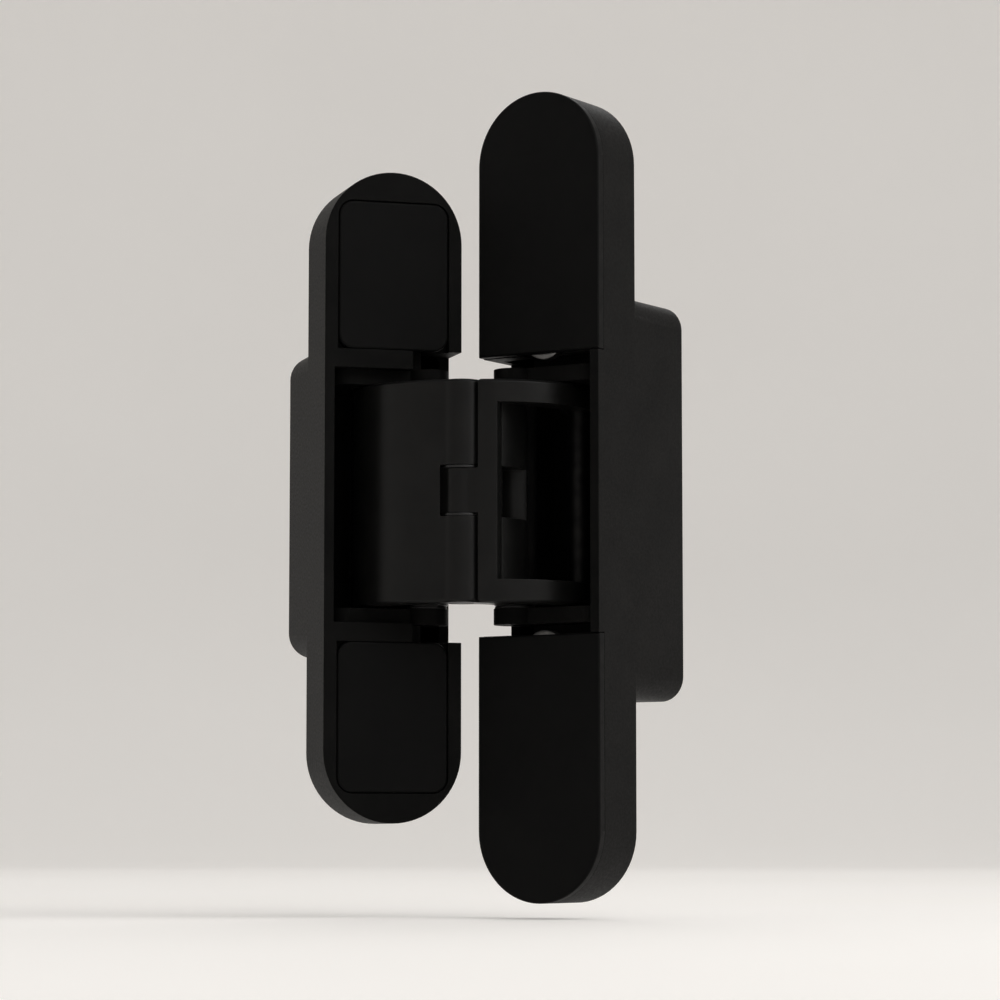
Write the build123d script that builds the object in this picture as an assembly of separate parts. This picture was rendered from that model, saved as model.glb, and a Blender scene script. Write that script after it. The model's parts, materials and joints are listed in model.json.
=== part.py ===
from build123d import *
import os

# Concealed hinge for a flush door, shown opened to 130 degrees.
# One half is let into the frame, the other into the edge of the leaf. Two bowed arms cross at a
# centre pin. Each arm turns on a pin near one face, and the guide pin in its tail slides in a
# curved slot deep in the other half.
#
# Millimetres. X runs across the frame half towards the opening side, +Y goes into the frame, Z is up.
# Each half is drawn in axes of its own: x across towards the opening side, y the depth behind its
# face, z along its length. The origin moves to the frame's screw seat when the parts are written.

# Bodies
body_width = 28.0
leaf_length = 160.0
frame_length = 129.0
body_wall = 2.0
screw_end_depth = 14.0
screw_plate = 3.0
deep_corner = 5.0
pocket_corner = 1.5
land_reach = 16.0
edge_gap = 5.0

# Linkage in plan when closed. The pivot and the guide are set in from the opening side, the centre
# pin from the other side.
pivot_inset = 5.8
pivot_depth = 4.5
centre_inset = 8.4
guide_inset = 6.2
guide_depth = 20.8
arm_share = 0.56
full_angle = 180.0
rest_angle = 130.0
slot_overrun = 1.5

# Arms
arm_height = 43.6
tongue_height = 8.8
arm_band = 5.8
root_bow = 3.2
tail_bow = 6.2
pivot_knuckle = 4.25
centre_knuckle = 4.25
tongue_knuckle = 3.6
guide_knuckle = 3.75
root_reach = 5.0
post_reach = 8.0
finger_height = 4.5
arm_blend = 2.0
arm_edge = 0.5

# Pins, bushes and washers
pin_radius = 2.5
pin_edge = 0.4
bush_wall = 0.5
bush_length = 9.0
flange_thickness = 0.35
flange_radius = 4.0
washer_thickness = 0.5
liner_wall = 0.8

# Carriages
cheek_thickness = 3.2
cheek_front = 3.0
cheek_corner = 4.0
ear_radius = 4.2
web_thickness = 2.3
web_window_width = 13.0
web_window_height = 32.0
carriage_corner = 1.5
lug_width = 14.0
lug_corner = 3.0

# Covers
cover_thickness = 2.0
frame_cover_width = 22.4
frame_cover_end = 6.0
frame_cover_corner = 3.0
cover_edge = 0.5
clip_radius = 1.5
frame_clip_inset = 2.0
frame_clip_along = 78.0
leaf_clip_inset = 4.2

# Height setting on the frame half
height_travel = 3.0
clamp_lug_thickness = 3.5
clamp_head_radius = 4.4
clamp_head_height = 2.0
clamp_washer_thickness = 0.7
clamp_washer_radius = 4.9
clamp_socket = 3.0

# Side setting on the leaf half
side_travel = 3.0
adjuster_place = 31.2
adjuster_radius = 3.0
adjuster_neck_radius = 2.4
adjuster_head_radius = 4.5
adjuster_head_height = 2.2
adjuster_fork = 1.8
adjuster_lug_thickness = 6.0
adjuster_lug_land = 3.3
adjuster_socket = 4.0
socket_depth = 1.4

# Wood screws, countersunk under the covers
wood_hole_radius = 2.7
wood_head_radius = 4.6
wood_boss_radius = 5.3
frame_screw_across = 11.0
frame_screw_along = 106.0
leaf_screw_inner = 101.0
leaf_screw_outer = 134.0

# Clearances
running_clearance = 0.03
slot_clearance = 0.12
face_clearance = 0.05
slide_clearance = 0.15
swing_clearance = 0.35
end_clearance = 0.5
screw_clearance = 0.25
opening_margin = 2.2

# Heights that follow from the arm stack
arm_half = arm_height / 2
tongue_half = tongue_height / 2
fork_half = tongue_half + washer_thickness + 2 * face_clearance
cheek_inner = arm_half + flange_thickness + face_clearance
cheek_outer = cheek_inner + cheek_thickness
bush_radius = pin_radius + bush_wall
slot_radius = pin_radius + slot_clearance
pin_half = cheek_outer - face_clearance

# Depths behind a face
web_front = guide_depth + guide_knuckle + swing_clearance
web_back = web_front + web_thickness
clamp_lug_front = cover_thickness + screw_clearance + clamp_head_height + clamp_washer_thickness
clamp_lug_back = clamp_lug_front + clamp_lug_thickness
fork_front = cover_thickness + screw_clearance + adjuster_head_height + face_clearance
fork_back = fork_front + adjuster_fork
adjuster_lug_front = fork_back + side_travel + swing_clearance
adjuster_lug_back = adjuster_lug_front + adjuster_lug_thickness
frame_inside = web_back + face_clearance
frame_depth = frame_inside + body_wall
leaf_inside = web_back + side_travel + swing_clearance
leaf_depth = leaf_inside + body_wall
ear_back = pivot_depth + ear_radius

# Half widths and half lengths
pocket_half = body_width / 2 - body_wall
carriage_half = pocket_half - slide_clearance
frame_pocket_half = cheek_outer + height_travel + end_clearance
frame_deep_half = frame_pocket_half + body_wall
land_start = arm_half + height_travel + swing_clearance
frame_cover_start = frame_pocket_half
frame_cover_stop = frame_length / 2 - frame_cover_end
clamp_screw_place = cheek_outer + height_travel + clamp_washer_radius + end_clearance
clamp_slot_radius = pin_radius + screw_clearance
clamp_lug_end = clamp_screw_place + height_travel + clamp_slot_radius + body_wall
channel_half = clamp_lug_end + height_travel + end_clearance
leaf_open_half = cheek_outer + opening_margin
adjuster_lug_end = adjuster_place + adjuster_radius + adjuster_lug_land
leaf_pocket_half = adjuster_lug_end + end_clearance
leaf_deep_half = leaf_pocket_half + body_wall

pivot_across = body_width / 2 - pivot_inset
centre_across = centre_inset - body_width / 2
guide_across = body_width / 2 - guide_inset
frame_pivot = Vector(pivot_across, pivot_depth)
leaf_pivot = Vector(pivot_across, -edge_gap - pivot_depth)
centre = Vector(centre_across, -edge_gap / 2)
frame_guide = Vector(guide_across, guide_depth)
leaf_guide = Vector(guide_across, -edge_gap - guide_depth)


def turned_about(point, angle):
    """Placement that turns a piece about an upright line through a point of the plan."""
    return Pos(point.X, point.Y) * Rot(0, 0, angle) * Pos(-point.X, -point.Y)


def frame_arm_at(opening):
    return turned_about(frame_pivot, arm_share * opening)


def leaf_arm_at(opening):
    return frame_arm_at(opening) * turned_about(centre, (1 - 2 * arm_share) * opening)


def leaf_at(opening):
    return leaf_arm_at(opening) * turned_about(leaf_pivot, arm_share * opening)


def at(point):
    return Pos(point.X, point.Y)


def slab(outline, depth_from, depth_to):
    """Face outline, x across and y along the length, made solid between two depths."""
    return extrude(Plane.XZ.offset(-depth_from) * outline, amount=depth_from - depth_to)


def storey(outline, bottom, top):
    """Plan outline made solid between two heights."""
    return extrude(Pos(0, 0, bottom) * outline, amount=top - bottom)


def upright(radius, bottom, top, point):
    return storey(at(point) * Circle(radius), bottom, top)


def both_ends(piece):
    return piece + mirror(piece, about=Plane.XY)


def rounded_end(length, width):
    return SlotOverall(length, width, rotation=90)


def corners(across, along):
    """The four corners of a rectangle about the middle of a face."""
    return [(x, z) for x in (-across / 2, across / 2) for z in (-along / 2, along / 2)]


def discs(radius, spots):
    return Sketch() + [Pos(x, z) * Circle(radius) for x, z in spots]


def bowed(start, end, bow):
    """Arc from start to end that stands off its chord to the left by the bow."""
    chord = end - start
    aside = Vector(-chord.Y, chord.X).normalized() * bow
    return ThreePointArc(start, (start + end) / 2 + aside, end)


def guide_path():
    """Arc that the guide pin follows in its half, from closed to fully open."""
    stops = (-slot_overrun, full_angle / 2, full_angle + slot_overrun)
    path = [(leaf_arm_at(stop) * at(frame_guide)).position for stop in stops]
    return ThreePointArc(*path)


# Arms, drawn closed as the frame arm lies. One crosses as a tongue, the other as a fork round it.
def arm_outline(knuckle, grown=0.0):
    """Plan of an arm, or of the room round it when grown."""
    band = arm_band + 2 * grown
    outline = SlotArc(bowed(frame_pivot, centre, -root_bow), band)
    outline += SlotArc(bowed(centre, leaf_guide, -tail_bow), band)
    outline += at(centre) * Circle(knuckle + grown)
    outline += at(frame_pivot) * Circle(pivot_knuckle + grown)
    outline += at(leaf_guide) * Circle(guide_knuckle + grown)
    return fillet(outline.vertices(), arm_blend - grown)


def arm_casting(knuckle):
    casting = storey(arm_outline(knuckle), -arm_half, arm_half)
    rims = casting.faces().filter_by(Axis.Z).edges()
    casting = chamfer(rims, arm_edge)
    casting -= upright(bush_radius, -arm_half, arm_half, frame_pivot)
    return casting - upright(pin_radius, -arm_half, arm_half, leaf_guide)


def relief(other_knuckle, bottom, top):
    """Room between two heights for the other arm, which lies closest when the hinge is fully open.
    The root keeps only its barrel there."""
    other = mirror(arm_outline(other_knuckle, swing_clearance), about=Plane.XZ.offset(edge_gap / 2))
    closest = turned_about(centre, (1 - 2 * arm_share) * (full_angle + slot_overrun)) * other
    root = SlotArc(bowed(frame_pivot, centre, -root_bow), arm_band + 2 * arm_blend)
    return storey(closest + (root - at(frame_pivot) * Circle(root_reach)), bottom, top)


def tail_window():
    """Opening in a tail between the post beside the centre pin and two fingers that hold the guide pin."""
    tail = SlotArc(bowed(centre, leaf_guide, -tail_bow), arm_band + 2 * arm_blend)
    tail += at(leaf_guide) * Circle(guide_knuckle + arm_blend)
    window_half = arm_half - finger_height
    return storey(tail - at(centre) * Circle(post_reach), -window_half, window_half)


def make_frame_arm():
    arm = arm_casting(tongue_knuckle) - both_ends(relief(centre_knuckle, tongue_half, arm_height))
    arm -= tail_window()
    return arm - upright(bush_radius, -arm_half, arm_half, centre)


def make_leaf_arm():
    arm = arm_casting(centre_knuckle) - relief(tongue_knuckle, -fork_half, fork_half)
    arm -= upright(pin_radius, -arm_half, arm_half, centre)
    return mirror(arm, about=Plane.XZ.offset(edge_gap / 2))


def make_pin(half_length, point):
    pin = upright(pin_radius, -half_length, half_length, point)
    return chamfer(pin.edges(), pin_edge)


def make_bush(point):
    """Flanged bush in the upper end of a pivot barrel."""
    bush = upright(bush_radius, arm_half - bush_length, arm_half, point)
    bush += upright(flange_radius, arm_half, arm_half + flange_thickness, point)
    return bush - upright(pin_radius + running_clearance, 0, cheek_inner, point)


def make_centre_bush():
    bush = upright(bush_radius, -tongue_half, tongue_half, centre)
    return bush - upright(pin_radius + running_clearance, -tongue_half, tongue_half, centre)


def make_centre_washer():
    bottom = tongue_half + face_clearance
    washer = upright(flange_radius, bottom, bottom + washer_thickness, centre)
    return washer - upright(pin_radius + running_clearance, 0, arm_half, centre)


# Carriages: two cheeks on a back web, with ears for the pivot pin and slots for the guide pin.
def make_carriage():
    cheek_length = web_back - cheek_front
    cheek = Pos(0, cheek_front + cheek_length / 2) * Rectangle(2 * carriage_half, cheek_length)
    cheek = fillet(cheek.vertices().sort_by(Axis.Y)[:2], cheek_corner)
    shell = both_ends(storey(cheek, cheek_inner, cheek_outer))
    shell += slab(Rectangle(2 * carriage_half, 2 * cheek_outer), web_front, web_back)
    envelope = RectangleRounded(2 * carriage_half, 2 * cheek_outer, carriage_corner)
    shell &= slab(envelope, 0, web_back)
    shell += both_ends(upright(ear_radius, cheek_inner, cheek_outer, frame_pivot))
    window = RectangleRounded(web_window_width, web_window_height, lug_corner)
    shell -= slab(window, web_front, web_back)
    shell -= upright(pin_radius, -cheek_outer, cheek_outer, frame_pivot)
    liner_seat = SlotArc(guide_path(), 2 * (slot_radius + liner_wall))
    return shell - both_ends(storey(liner_seat, cheek_inner, cheek_outer))


def make_lugs(end, front, back):
    length = end - cheek_outer
    lug = Pos(0, cheek_outer + length / 2) * Rectangle(lug_width, length)
    lug = fillet(lug.vertices().sort_by(Axis.Y)[-2:], lug_corner)
    return both_ends(slab(lug, front, back))


def make_frame_carriage():
    carriage = make_carriage() + make_lugs(clamp_lug_end, clamp_lug_front, clamp_lug_back)
    slot = SlotCenterToCenter(2 * (height_travel + slide_clearance), 2 * clamp_slot_radius, rotation=90)
    slot = Pos(0, clamp_screw_place) * slot
    return carriage - both_ends(slab(slot, clamp_lug_front, clamp_lug_back))


def make_leaf_carriage():
    carriage = make_carriage() + make_lugs(adjuster_lug_end, adjuster_lug_front, adjuster_lug_back)
    thread = Pos(0, adjuster_place) * Circle(adjuster_radius + running_clearance)
    return carriage - both_ends(slab(thread, adjuster_lug_front, adjuster_lug_back))


def make_slot_liner():
    """Low-friction liner of the guide slot in the upper cheek."""
    path = guide_path()
    ring = SlotArc(path, 2 * (slot_radius + liner_wall)) - SlotArc(path, 2 * slot_radius)
    return storey(ring, cheek_inner, cheek_outer)


# Housings
def wood_screw_holes(spots):
    """Countersunk holes, open from the plate under the cover to the back of the screw end."""
    sink = wood_head_radius - wood_hole_radius
    holes = slab(discs(wood_hole_radius, spots), cover_thickness, screw_end_depth)
    base = (Align.CENTER, Align.CENTER, Align.MIN)
    for x, z in spots:
        place = Pos(x, cover_thickness + sink, z) * Rot(90, 0, 0)
        holes += place * Cone(wood_hole_radius, wood_head_radius, sink, align=base)
    return holes


frame_screws = corners(frame_screw_across, frame_screw_along)
leaf_screws = [(0, end * spacing / 2) for end in (-1, 1) for spacing in (leaf_screw_inner, leaf_screw_outer)]
frame_clips = corners(frame_cover_width - 2 * frame_clip_inset, frame_clip_along)
leaf_clips = corners(body_width - 2 * leaf_clip_inset, (leaf_screw_inner + leaf_screw_outer) / 2)


def face_lands():
    """Lips of the frame's face between the covers and the arms, over the ends of the pocket."""
    height = frame_pocket_half - land_start
    land = Pos(land_reach / 2 - pocket_half, land_start + height / 2) * Rectangle(land_reach, height)
    return both_ends(slab(land, 0, cheek_front - swing_clearance))


def make_frame_housing():
    end_back = screw_end_depth
    plate_back = cover_thickness + screw_plate
    housing = slab(rounded_end(frame_length, body_width), 0, end_back)
    housing += slab(RectangleRounded(body_width, 2 * frame_deep_half, deep_corner), 0, frame_depth)
    housing -= slab(RectangleRounded(2 * pocket_half, 2 * frame_pocket_half, pocket_corner), 0, frame_inside)
    recess_width = frame_cover_width + 2 * slide_clearance
    recess_length = 2 * (frame_cover_stop + slide_clearance)
    recess = RectangleRounded(recess_width, recess_length, frame_cover_corner + slide_clearance)
    housing -= slab(recess, 0, cover_thickness)
    channel_width = lug_width + 2 * slide_clearance
    channel = RectangleRounded(channel_width, 2 * channel_half, lug_corner)
    housing -= slab(channel, cover_thickness, clamp_lug_back + face_clearance)
    core = rounded_end(frame_length - 2 * body_wall, body_width - 2 * body_wall)
    core -= Rectangle(body_width, 2 * frame_deep_half)
    core -= Rectangle(channel_width + 2 * body_wall, 2 * (channel_half + body_wall))
    core -= discs(wood_boss_radius, frame_screws)
    housing -= slab(core, plate_back, end_back)
    housing -= wood_screw_holes(frame_screws)
    housing -= slab(discs(clip_radius, frame_clips), cover_thickness, plate_back)
    clamp_hole = Pos(0, clamp_screw_place) * Circle(pin_radius)
    housing -= both_ends(slab(clamp_hole, clamp_lug_back, end_back))
    way_out = Pos(pocket_half + body_wall / 2, 0) * Rectangle(2 * body_wall, 2 * frame_pocket_half)
    housing -= slab(way_out, 0, ear_back + swing_clearance)
    return housing + face_lands()


def keyhole(radius):
    """Slot for an adjusting screw, open towards the middle of the half."""
    length = adjuster_place - leaf_open_half + opening_margin
    way_in = Pos(0, adjuster_place - length / 2) * Rectangle(2 * radius, length)
    return way_in + Pos(0, adjuster_place) * Circle(radius)


def make_leaf_housing():
    end_back = screw_end_depth
    plate_back = cover_thickness + screw_plate
    housing = slab(rounded_end(leaf_length, body_width), cover_thickness, end_back)
    housing += slab(RectangleRounded(body_width, 2 * leaf_deep_half, deep_corner), cover_thickness, leaf_depth)
    housing += slab(Rectangle(body_width, 2 * leaf_open_half), 0, cover_thickness)
    housing -= slab(RectangleRounded(2 * pocket_half, 2 * leaf_pocket_half, pocket_corner), fork_back, leaf_inside)
    housing -= slab(Rectangle(2 * pocket_half, 2 * leaf_open_half), 0, fork_back)
    head_way = keyhole(adjuster_head_radius + screw_clearance)
    housing -= both_ends(slab(head_way, cover_thickness, fork_front))
    neck_way = keyhole(adjuster_neck_radius + screw_clearance)
    housing -= both_ends(slab(neck_way, fork_front, fork_back))
    core = rounded_end(leaf_length - 2 * body_wall, body_width - 2 * body_wall)
    core -= Rectangle(body_width, 2 * leaf_deep_half)
    core -= discs(wood_boss_radius, leaf_screws)
    housing -= slab(core, plate_back, end_back)
    housing -= wood_screw_holes(leaf_screws)
    housing -= slab(discs(clip_radius, leaf_clips), cover_thickness, plate_back)
    way_out = Pos(pocket_half + body_wall / 2, 0) * Rectangle(2 * body_wall, 2 * leaf_open_half)
    return housing - slab(way_out, 0, ear_back + side_travel + swing_clearance)


# Covers, each with a pair of clip posts
def softened(cover):
    rim = cover.faces().sort_by(Axis.Y)[0].outer_wire().edges()
    return fillet(rim, cover_edge)


def clip_posts(spots):
    """Posts under the cover at the +z end."""
    posts = discs(clip_radius, [(x, z) for x, z in spots if z > 0])
    return slab(posts, cover_thickness, cover_thickness + screw_plate)


def make_frame_cover():
    length = frame_cover_stop - frame_cover_start
    plate = RectangleRounded(frame_cover_width, length, frame_cover_corner)
    cover = softened(slab(Pos(0, frame_cover_start + length / 2) * plate, 0, cover_thickness))
    return cover + clip_posts(frame_clips)


def make_leaf_cover():
    start = leaf_open_half + slide_clearance
    beyond = Pos(0, start + leaf_length / 2) * Rectangle(body_width, leaf_length)
    cover = softened(slab(rounded_end(leaf_length, body_width) & beyond, 0, cover_thickness))
    return cover + clip_posts(leaf_clips)


# Setting screws
def make_clamp_screw():
    spot = Pos(0, clamp_screw_place)
    front = cover_thickness + screw_clearance
    screw = slab(spot * Circle(clamp_head_radius), front, front + clamp_head_height)
    screw += slab(spot * Circle(pin_radius), front, screw_end_depth - end_clearance)
    return screw - slab(spot * RegularPolygon(clamp_socket / 2, 6, major_radius=False), front, front + socket_depth)


def make_clamp_washer():
    spot = Pos(0, clamp_screw_place)
    ring = spot * (Circle(clamp_washer_radius) - Circle(pin_radius))
    return slab(ring, clamp_lug_front - clamp_washer_thickness, clamp_lug_front - face_clearance)


def make_side_adjuster():
    spot = Pos(0, adjuster_place)
    front = cover_thickness + screw_clearance
    screw = slab(spot * Circle(adjuster_head_radius), front, front + adjuster_head_height)
    screw += slab(spot * Circle(adjuster_neck_radius), front, adjuster_lug_front)
    screw += slab(spot * Circle(adjuster_radius), fork_back + face_clearance, adjuster_lug_back + side_travel)
    socket = RegularPolygon(adjuster_socket / 2, 6, major_radius=False)
    return screw - slab(spot * socket, front, front + socket_depth)


# Places of the moving groups at rest
frame_side = Pos(0, -screw_end_depth)
frame_arm_side = frame_side * frame_arm_at(rest_angle)
leaf_arm_side = frame_side * leaf_arm_at(rest_angle)
leaf_side = frame_side * leaf_at(rest_angle) * Pos(0, -edge_gap) * Rot(180, 0, 0)

os.makedirs("parts", exist_ok=True)


def write(name, piece, place):
    export_step(place * piece, f"parts/{name}.step")


def write_pair(name, upper, place):
    """A piece drawn for the +z end and its twin, named by the end where they lie at rest."""
    for piece in (upper, mirror(upper, about=Plane.XY)):
        end = "upper" if (place * piece).center().Z > 0 else "lower"
        write(f"{name}_{end}", piece, place)


write("frame_housing", make_frame_housing(), frame_side)
write_pair("frame_cover", make_frame_cover(), frame_side)
write_pair("frame_clamp_screw", make_clamp_screw(), frame_side)
write_pair("frame_clamp_washer", make_clamp_washer(), frame_side)

write("frame_carriage", make_frame_carriage(), frame_side)
write("frame_arm_pin", make_pin(pin_half, frame_pivot), frame_side)
write_pair("frame_slot_liner", make_slot_liner(), frame_side)

write("frame_arm", make_frame_arm(), frame_arm_side)
write_pair("frame_arm_bush", make_bush(frame_pivot), frame_arm_side)
write("centre_bush", make_centre_bush(), frame_arm_side)
write_pair("centre_washer", make_centre_washer(), frame_arm_side)
write("leaf_guide_pin", make_pin(pin_half, leaf_guide), frame_arm_side)

write("leaf_arm", make_leaf_arm(), leaf_arm_side)
write_pair("leaf_arm_bush", make_bush(leaf_pivot), leaf_arm_side)
write("centre_pin", make_pin(arm_half, centre), leaf_arm_side)
write("frame_guide_pin", make_pin(pin_half, frame_guide), leaf_arm_side)

write("leaf_carriage", make_leaf_carriage(), leaf_side)
write("leaf_arm_pin", make_pin(pin_half, frame_pivot), leaf_side)
write_pair("leaf_slot_liner", make_slot_liner(), leaf_side)

write("leaf_housing", make_leaf_housing(), leaf_side)
write_pair("leaf_cover", make_leaf_cover(), leaf_side)
write_pair("side_adjuster", make_side_adjuster(), leaf_side)
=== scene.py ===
import json
import math

import bmesh
import bpy
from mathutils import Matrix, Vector


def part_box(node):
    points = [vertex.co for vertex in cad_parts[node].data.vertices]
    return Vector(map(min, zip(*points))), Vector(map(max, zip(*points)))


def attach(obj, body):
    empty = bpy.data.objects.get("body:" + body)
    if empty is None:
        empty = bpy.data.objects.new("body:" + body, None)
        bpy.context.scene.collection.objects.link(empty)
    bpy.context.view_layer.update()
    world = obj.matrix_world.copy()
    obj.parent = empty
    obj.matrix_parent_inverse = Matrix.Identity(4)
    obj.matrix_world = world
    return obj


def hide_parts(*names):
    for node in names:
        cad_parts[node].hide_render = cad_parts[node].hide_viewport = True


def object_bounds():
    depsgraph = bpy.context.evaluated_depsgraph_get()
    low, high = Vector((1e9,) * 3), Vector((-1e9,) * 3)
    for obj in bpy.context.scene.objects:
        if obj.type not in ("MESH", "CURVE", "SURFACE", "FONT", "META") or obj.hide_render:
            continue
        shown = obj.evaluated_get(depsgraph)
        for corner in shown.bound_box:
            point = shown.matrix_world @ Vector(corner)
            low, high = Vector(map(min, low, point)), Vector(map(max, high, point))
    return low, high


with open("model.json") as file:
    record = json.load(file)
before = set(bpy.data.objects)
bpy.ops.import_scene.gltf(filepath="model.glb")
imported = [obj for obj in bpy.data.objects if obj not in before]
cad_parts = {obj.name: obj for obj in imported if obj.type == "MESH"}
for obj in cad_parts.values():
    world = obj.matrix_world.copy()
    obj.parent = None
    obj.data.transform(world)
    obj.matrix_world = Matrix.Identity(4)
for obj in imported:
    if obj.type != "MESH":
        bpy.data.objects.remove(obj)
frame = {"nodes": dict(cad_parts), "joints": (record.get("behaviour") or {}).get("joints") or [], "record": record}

cad_lo, cad_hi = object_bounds()
cad_centre = (cad_lo + cad_hi) / 2
joints = {joint["name"]: joint for joint in frame["joints"]}
mounts = {mount["name"]: mount for mount in frame["record"]["mounts"]}

# Sizes in metres. Azimuths and elevations in degrees, with azimuth 0 in front, on the -Y side.
MM = 0.001

# Camera, at the photograph's angle and distance
VIEW_AZIMUTH = -17.0
VIEW_ELEVATION = -5.5
VIEW_DISTANCE = 0.70
IMAGE_FILL = 0.80
NEAR_CLIP = 0.01

# Floor and backdrop
FLOOR_GAP = 0.05 * MM
FLOOR_RINGS = (0.02, 0.1, 0.3, 0.6, 1.0)
SWEEP_RADIUS = 1.9
SWEEP_CORNER = 0.7
SWEEP_HEIGHT = 1.6
SWEEP_STEPS = 96
SWEEP_ARC_STEPS = 16
BACKDROP_GLOW = 0.24

# Light. A lamp's level is its share of a plain white light.
LIGHT_COLOUR = (1.0, 0.985, 0.965, 1)
WORLD_LEVEL = 0.32
LAMPS = {
    "key_lamp": {"azimuth": 52, "elevation": 34, "distance": 1.1, "size": 0.80, "level": 0.50},
    "front_lamp": {"azimuth": 8, "elevation": 40, "distance": 1.3, "size": 0.80, "level": 0.20},
    "rim_lamp": {"azimuth": -112, "elevation": 26, "distance": 1.2, "size": 0.60, "level": 0.05},
    "back_lamp": {"azimuth": 158, "elevation": 44, "distance": 1.3, "size": 0.80, "level": 0.16},
}

# Setting screws: sizes of the head, hexagon socket, neck and thread
SCREW_SIDES = 60
SCREW_EDGE = 0.20 * MM
SOCKET_POINT = 0.35 * MM
SHARP_ANGLE = math.radians(32)
SIDE_ADJUSTER = {
    "head_radius": 4.5 * MM, "head_height": 2.2 * MM, "socket": 4.0 * MM, "socket_depth": 1.4 * MM,
    "neck_radius": 2.4 * MM, "neck_end": 4.1 * MM, "thread_radius": 3.0 * MM, "pitch": 1.0 * MM,
}
CLAMP_SCREW = {
    "head_radius": 4.4 * MM, "head_height": 2.0 * MM, "socket": 3.0 * MM, "socket_depth": 1.4 * MM,
    "neck_radius": 2.05 * MM, "neck_end": 3.2 * MM, "thread_radius": 2.5 * MM, "pitch": 0.8 * MM,
}

# Thread: rings in a pitch, then depth, crest and both flanks as shares of the pitch, then the slope
# at which it runs out towards the neck and the tip
THREAD_STEPS = 12
THREAD_DEPTH = 0.61
THREAD_CREST = 0.12
THREAD_FLANK = 0.63
THREAD_RUN_OUT = 0.5

# Edge rounding of the castings and turned pieces
WELD_DISTANCE = 0.002 * MM
EDGE_ANGLE = math.radians(38)
EDGE_SEGMENTS = 2
NORMAL_WEIGHT = 100
CASTING_EDGE = 0.12 * MM
COVER_EDGE = 0.10 * MM
TURNED_EDGE = 0.08 * MM
CARRIAGE_EDGE = 0.04 * MM

# The middle of a noise texture's values, which a finish spreads over its colours and roughness
NOISE_LOW = 0.3
NOISE_HIGH = 0.7


class Paint:
    """A procedural material, built up from textures in the object's own coordinates."""

    def __init__(self, name):
        self.material = bpy.data.materials.new(name)
        self.material.use_nodes = True
        self.tree = self.material.node_tree
        self.shader = self.tree.nodes["Principled BSDF"]
        self.place = self.node("ShaderNodeTexCoord").outputs["Object"]

    def node(self, kind):
        return self.tree.nodes.new(kind)

    def link(self, source, target):
        self.tree.links.new(source, target)

    def noise(self, grain, detail=3.0, stretch=(1, 1, 1)):
        """Noise with features about grain metres across, drawn out by stretch."""
        mapping = self.node("ShaderNodeMapping")
        mapping.inputs["Scale"].default_value = [1 / (grain * s) for s in stretch]
        self.link(self.place, mapping.inputs["Vector"])
        texture = self.node("ShaderNodeTexNoise")
        texture.inputs["Scale"].default_value = 1.0
        texture.inputs["Detail"].default_value = detail
        self.link(mapping.outputs["Vector"], texture.inputs["Vector"])
        return texture.outputs["Fac"]

    def colour(self, value, dark, light):
        ramp = self.node("ShaderNodeValToRGB")
        first, last = ramp.color_ramp.elements
        first.position, first.color = NOISE_LOW, (*dark, 1)
        last.position, last.color = NOISE_HIGH, (*light, 1)
        self.link(value, ramp.inputs["Fac"])
        self.link(ramp.outputs["Color"], self.shader.inputs["Base Color"])

    def roughness(self, value, low, high):
        spread = self.node("ShaderNodeMapRange")
        spread.inputs["From Min"].default_value = NOISE_LOW
        spread.inputs["From Max"].default_value = NOISE_HIGH
        spread.inputs["To Min"].default_value = low
        spread.inputs["To Max"].default_value = high
        self.link(value, spread.inputs["Value"])
        self.link(spread.outputs["Result"], self.shader.inputs["Roughness"])

    def bumps(self, *layers):
        """Layers of (height texture, height in metres), one over the other."""
        normal = None
        for value, height in layers:
            bump = self.node("ShaderNodeBump")
            bump.inputs["Strength"].default_value = 1.0
            bump.inputs["Distance"].default_value = height
            self.link(value, bump.inputs["Height"])
            if normal is not None:
                self.link(normal, bump.inputs["Normal"])
            normal = bump.outputs["Normal"]
        self.link(normal, self.shader.inputs["Normal"])

    def set(self, **sockets):
        for name, value in sockets.items():
            self.shader.inputs[name.replace("_", " ")].default_value = value


def black_casting():
    """Matte black powder coat on a zinc casting: a soft orange peel under a fine grain."""
    paint = Paint("black_powder_coat")
    peel = paint.noise(0.9 * MM, detail=2.0)
    grain = paint.noise(0.16 * MM, detail=4.0)
    paint.colour(paint.noise(9 * MM), dark=(0.0026, 0.0026, 0.0025), light=(0.0050, 0.0049, 0.0047))
    paint.roughness(paint.noise(0.5 * MM), low=0.50, high=0.64)
    paint.bumps((peel, 0.010 * MM), (grain, 0.006 * MM))
    paint.set(Specular_IOR_Level=0.14, Specular_Tint=(0.32, 0.32, 0.32, 1))
    return paint.material


def black_arm():
    """Satin black coat of the arms, smoother than the housings."""
    paint = Paint("black_satin_coat")
    grain = paint.noise(0.14 * MM, detail=4.0)
    paint.colour(paint.noise(7 * MM), dark=(0.0038, 0.0038, 0.0037), light=(0.0066, 0.0065, 0.0063))
    paint.roughness(paint.noise(0.8 * MM), low=0.30, high=0.42)
    paint.bumps((grain, 0.005 * MM))
    paint.set(Specular_IOR_Level=0.30, Specular_Tint=(0.50, 0.50, 0.50, 1))
    return paint.material


def black_cover():
    """Matte black paint of the covers, finer than the castings' coat."""
    paint = Paint("black_satin_paint")
    grain = paint.noise(0.11 * MM, detail=4.0)
    patches = paint.noise(14 * MM, detail=4.0)
    paint.colour(patches, dark=(0.0029, 0.0029, 0.0029), light=(0.0039, 0.0039, 0.0038))
    paint.roughness(paint.noise(1.6 * MM, detail=4.0), low=0.48, high=0.60)
    paint.bumps((grain, 0.005 * MM))
    paint.set(Specular_IOR_Level=0.16, Specular_Tint=(0.32, 0.32, 0.32, 1))
    return paint.material


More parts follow.
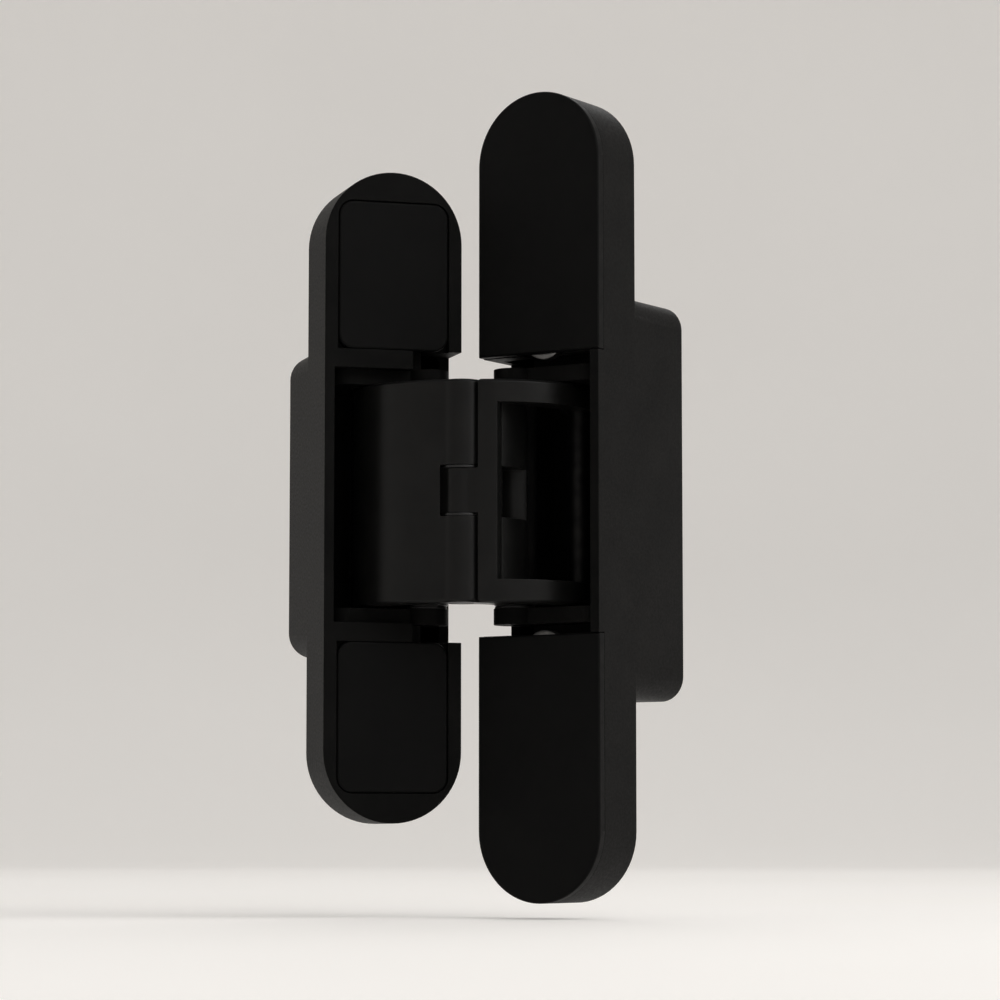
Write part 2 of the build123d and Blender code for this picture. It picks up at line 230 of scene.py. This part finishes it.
def bright_steel():
    """Dull plated steel of the side adjusters, with fine tool lines."""
    paint = Paint("turned_steel")
    lines = paint.noise(0.10 * MM, stretch=(30, 30, 1))
    paint.colour(paint.noise(2.2 * MM, detail=4.0), dark=(0.12, 0.12, 0.118), light=(0.19, 0.188, 0.184))
    paint.roughness(lines, low=0.30, high=0.46)
    paint.bumps((lines, 0.004 * MM))
    paint.set(Metallic=1.0)
    return paint.material


def dark_steel():
    """Blackened steel of the pins and clamp screws."""
    paint = Paint("blackened_steel")
    lines = paint.noise(0.12 * MM, stretch=(30, 30, 1))
    patches = paint.noise(3.0 * MM, detail=4.0)
    paint.colour(patches, dark=(0.008, 0.008, 0.0083), light=(0.017, 0.0167, 0.0164))
    paint.roughness(lines, low=0.40, high=0.56)
    paint.bumps((lines, 0.003 * MM))
    paint.set(Metallic=1.0)
    return paint.material


def black_polymer():
    """Black low-friction plastic of the liners, bushes and centre washers."""
    paint = Paint("black_polymer")
    flow = paint.noise(1.2 * MM, stretch=(1, 1, 4))
    paint.colour(paint.noise(4 * MM), dark=(0.0060, 0.0060, 0.0062), light=(0.0100, 0.0100, 0.0102))
    paint.roughness(flow, low=0.36, high=0.48)
    paint.bumps((flow, 0.004 * MM))
    paint.set(Specular_IOR_Level=0.35)
    return paint.material


def studio_paint():
    """Pale matt paint of the floor and sweep, which glows only for the camera and in reflections."""
    paint = Paint("pale_studio_paint")
    paint.colour(paint.noise(0.35), dark=(0.79, 0.765, 0.735), light=(0.83, 0.805, 0.775))
    paint.roughness(paint.noise(0.05), low=0.75, high=0.9)
    paint.bumps((paint.noise(2 * MM), 0.02 * MM))
    paint.set(Specular_IOR_Level=0.2, Emission_Color=LIGHT_COLOUR)
    rays = paint.node("ShaderNodeLightPath")
    seen = rays.outputs["Is Camera Ray"]
    for kind in ("Is Glossy Ray", "Is Transmission Ray"):
        either = paint.node("ShaderNodeMath")
        either.operation = "MAXIMUM"
        paint.link(seen, either.inputs[0])
        paint.link(rays.outputs[kind], either.inputs[1])
        seen = either.outputs["Value"]
    glow = paint.node("ShaderNodeMath")
    glow.operation = "MULTIPLY"
    glow.inputs[1].default_value = BACKDROP_GLOW
    paint.link(seen, glow.inputs[0])
    paint.link(glow.outputs["Value"], paint.shader.inputs["Emission Strength"])
    return paint.material


def outer_edges():
    """Geometry nodes that mark the sharp outer edges of a mesh for rounding."""
    group = bpy.data.node_groups.new("outer_edges", "GeometryNodeTree")
    for way in ("INPUT", "OUTPUT"):
        group.interface.new_socket("Geometry", in_out=way, socket_type="NodeSocketGeometry")
    start = group.nodes.new("NodeGroupInput")
    end = group.nodes.new("NodeGroupOutput")
    angle = group.nodes.new("GeometryNodeInputMeshEdgeAngle")
    sharp = group.nodes.new("FunctionNodeCompare")
    sharp.data_type = "FLOAT"
    sharp.operation = "GREATER_THAN"
    sharp.inputs["B"].default_value = EDGE_ANGLE
    mark = group.nodes.new("GeometryNodeStoreNamedAttribute")
    mark.data_type = "FLOAT"
    mark.domain = "EDGE"
    mark.inputs["Name"].default_value = "bevel_weight_edge"
    group.links.new(angle.outputs["Signed Angle"], sharp.inputs["A"])
    group.links.new(start.outputs["Geometry"], mark.inputs["Geometry"])
    group.links.new(sharp.outputs["Result"], mark.inputs["Value"])
    group.links.new(mark.outputs["Geometry"], end.inputs["Geometry"])
    return group


def round_edges(node, width, marks):
    """Rounds the sharp outer edges of a CAD node, with modifiers only."""
    weld = node.modifiers.new("weld", "WELD")
    weld.merge_threshold = WELD_DISTANCE
    mark = node.modifiers.new("outer_edges", "NODES")
    mark.node_group = marks
    bevel = node.modifiers.new("edges", "BEVEL")
    bevel.width = width
    bevel.segments = EDGE_SEGMENTS
    bevel.limit_method = "WEIGHT"
    bevel.use_clamp_overlap = False
    bevel.loop_slide = False
    bevel.miter_outer = "MITER_ARC"
    node.modifiers.new("triangles", "TRIANGULATE")
    normals = node.modifiers.new("normals", "WEIGHTED_NORMAL")
    normals.keep_sharp = True
    normals.weight = NORMAL_WEIGHT


def finish_of(name):
    """The finish and edge rounding of a CAD node, from the node's name."""
    if "cover" in name:
        return "cover", COVER_EDGE
    if "adjuster" in name:
        return "bright", TURNED_EDGE
    if "pin" in name or "clamp" in name:
        return "dark", TURNED_EDGE
    if "bush" in name or "liner" in name or "washer" in name:
        return "polymer", TURNED_EDGE
    if "carriage" in name:
        return "casting", CARRIAGE_EDGE
    if name.endswith("_arm"):
        return "arm", CASTING_EDGE
    return "casting", CASTING_EDGE


def dress_nodes(finishes):
    """Gives every CAD node its finish and rounded edges."""
    marks = outer_edges()
    for name, node in frame["nodes"].items():
        finish, edge = finish_of(name)
        for slot in node.material_slots:
            slot.material = finishes[finish]
        round_edges(node, edge, marks)


def join_rings(shape, rings):
    """Smooth faces between each ring of points and the next."""
    sides = len(rings[0])
    for near, far in zip(rings, rings[1:]):
        for side in range(sides):
            after = (side + 1) % sides
            face = shape.faces.new((near[side], far[side], far[after], near[after]))
            face.smooth = True


def add_object(name, shape, material):
    """Turns a finished shape into an object of the scene."""
    mesh = bpy.data.meshes.new(name)
    shape.to_mesh(mesh)
    shape.free()
    mesh.materials.append(material)
    thing = bpy.data.objects.new(name, mesh)
    bpy.context.scene.collection.objects.link(thing)
    return thing


def screw_rings(length, size):
    """Rings of a socket screw from the socket's floor to the tip, as (depth, radius at an angle)."""
    flat = size["socket"] / 2
    sixth = math.pi / 3
    head, edge = size["head_radius"], SCREW_EDGE
    major, pitch = size["thread_radius"], size["pitch"]
    minor = major - THREAD_DEPTH * pitch

    def hexagon(angle):
        return flat / math.cos((angle + sixth / 2) % sixth - sixth / 2)

    def plain(radius):
        return lambda angle: radius

    def thread(depth):
        """A groove with a narrow crest and a wider root, which runs out at the neck and at the tip."""
        room = min(depth - size["neck_end"], length - depth)
        limit = min(major, minor + max(room, 0) * THREAD_RUN_OUT)

        def radius(angle):
            phase = (depth / pitch + angle / (2 * math.pi)) % 1
            groove = (abs(2 * phase - 1) - THREAD_CREST) / THREAD_FLANK
            return min(limit, major - (major - minor) * min(max(groove, 0), 1))
        return radius

    rings = [
        (size["socket_depth"], hexagon),
        (edge, hexagon),
        (0, plain(flat / math.cos(sixth / 2) + edge)),
        (0, plain(head - edge)),
        (edge / 3, plain(head - edge / 3)),
        (edge, plain(head)),
        (size["head_height"] - edge / 2, plain(head)),
        (size["head_height"], plain(head - edge / 2)),
        (size["head_height"], plain(size["neck_radius"] + edge)),
        (size["head_height"] + edge, plain(size["neck_radius"])),
        (size["neck_end"], plain(min(size["neck_radius"], minor))),
    ]
    step = pitch / THREAD_STEPS
    turns = int((length - size["neck_end"]) / step)
    for count in range(1, turns + 1):
        depth = size["neck_end"] + count * step
        rings.append((depth, thread(depth)))
    return rings + [(length, plain(minor))]


def socket_screw(node, outward, centre, size, finish):
    """A threaded socket screw in place of a plain CAD screw, with the same head, length and diameters."""
    heights = [vertex.co.dot(outward) for vertex in frame["nodes"][node].data.vertices]
    top, length = max(heights), max(heights) - min(heights)
    start = centre + outward * (top - centre.dot(outward))
    up = Vector((0, 0, 1))
    aside = up.cross(outward)
    shape = bmesh.new()
    rings = []
    for depth, radius in screw_rings(length, size):
        ring = []
        for side in range(SCREW_SIDES):
            angle = 2 * math.pi * side / SCREW_SIDES
            reach = (aside * math.cos(angle) + up * math.sin(angle)) * radius(angle)
            ring.append(shape.verts.new(start + reach - outward * depth))
        rings.append(ring)
    floor = shape.verts.new(start - outward * (size["socket_depth"] + SOCKET_POINT))
    tip = shape.verts.new(start - outward * length)
    for side in range(SCREW_SIDES):
        after = (side + 1) % SCREW_SIDES
        shape.faces.new((floor, rings[0][side], rings[0][after])).smooth = True
        shape.faces.new((tip, rings[-1][after], rings[-1][side])).smooth = True
    join_rings(shape, rings)
    bmesh.ops.recalc_face_normals(shape, faces=shape.faces)
    for edge in shape.edges:
        edge.smooth = edge.calc_face_angle(0) < SHARP_ANGLE
    return add_object(node + "_threaded", shape, finish)


def setting_screws(finishes):
    """The threaded screws of both settings, on the axes that the frame gives."""
    frame_face = -Vector(mounts["frame_screws"]["axis"])
    for end in ("upper", "lower"):
        turn = joints[f"side_adjuster_{end}_turn"]
        adjuster = socket_screw(f"side_adjuster_{end}", Vector(turn["axis"]), Vector(turn["pos_m"]),
                                SIDE_ADJUSTER, finishes["bright"])
        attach(adjuster, f"side_adjuster_{end}")
        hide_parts(f"side_adjuster_{end}")
        low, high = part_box(f"frame_clamp_screw_{end}")
        clamp = socket_screw(f"frame_clamp_screw_{end}", frame_face, (low + high) / 2,
                             CLAMP_SCREW, finishes["dark"])
        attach(clamp, "frame")
        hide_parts(f"frame_clamp_screw_{end}")


def studio_sweep():
    """A floor that curves up into a wall on every side, below the leaf's lowest setting."""
    lowest_setting = joints["height_setting"]["range_m"][0]
    floor = cad_lo.z + lowest_setting - FLOOR_GAP
    flat = SWEEP_RADIUS - SWEEP_CORNER
    profile = [(flat * share, floor) for share in FLOOR_RINGS]
    for step in range(1, SWEEP_ARC_STEPS + 1):
        angle = math.pi / 2 * step / SWEEP_ARC_STEPS
        across = flat + SWEEP_CORNER * math.sin(angle)
        profile.append((across, floor + SWEEP_CORNER * (1 - math.cos(angle))))
    profile.append((SWEEP_RADIUS, floor + SWEEP_HEIGHT))
    shape = bmesh.new()
    rings = []
    for across, height in profile:
        ring = []
        for step in range(SWEEP_STEPS):
            turn = 2 * math.pi * step / SWEEP_STEPS
            ring.append(shape.verts.new((
                cad_centre.x + across * math.cos(turn),
                cad_centre.y + across * math.sin(turn),
                height,
            )))
        rings.append(ring)
    shape.faces.new(rings[0])
    join_rings(shape, rings)
    bmesh.ops.recalc_face_normals(shape, faces=shape.faces)
    sweep = add_object("studio_sweep", shape, studio_paint())


def add_aimed(name, data, azimuth, elevation, distance):
    """Adds a lamp or camera that faces the middle of the object from these angles."""
    turn, rise = math.radians(azimuth), math.radians(elevation)
    back = Vector((math.sin(turn) * math.cos(rise), -math.cos(turn) * math.cos(rise), math.sin(rise)))
    thing = bpy.data.objects.new(name, data)
    bpy.context.scene.collection.objects.link(thing)
    thing.location = cad_centre + back * distance
    thing.rotation_euler = (-back).to_track_quat("-Z", "Y").to_euler()
    return thing


def area_lamp(name, azimuth, elevation, distance, size, level):
    """A square soft lamp aimed at the object."""
    lamp = bpy.data.lights.new(name, "AREA")
    lamp.size = size
    lamp.energy = level * (math.pi * distance) ** 2
    add_aimed(name, lamp, azimuth, elevation, distance)


def studio_light():
    for name, lamp in LAMPS.items():
        area_lamp(name, **lamp)
    world = bpy.data.worlds.new("studio_air")
    world.use_nodes = True
    bpy.context.scene.world = world
    sky = world.node_tree.nodes["Background"]
    sky.inputs["Color"].default_value = LIGHT_COLOUR
    sky.inputs["Strength"].default_value = WORLD_LEVEL


def place_camera():
    """A camera that shows the object's height over IMAGE_FILL of the square picture."""
    lens = bpy.data.cameras.new("photo_camera")
    half_view = (cad_hi.z - cad_lo.z) / 2 / IMAGE_FILL
    lens.lens = lens.sensor_width / 2 * VIEW_DISTANCE / half_view
    lens.clip_start = NEAR_CLIP
    camera = add_aimed("photo_camera", lens, VIEW_AZIMUTH, VIEW_ELEVATION, VIEW_DISTANCE)
    bpy.context.scene.camera = camera


finishes = {
    "casting": black_casting(),
    "arm": black_arm(),
    "cover": black_cover(),
    "bright": bright_steel(),
    "dark": dark_steel(),
    "polymer": black_polymer(),
}
dress_nodes(finishes)
setting_screws(finishes)
studio_sweep()
studio_light()
place_camera()
bpy.context.scene.view_settings.view_transform = "Standard"
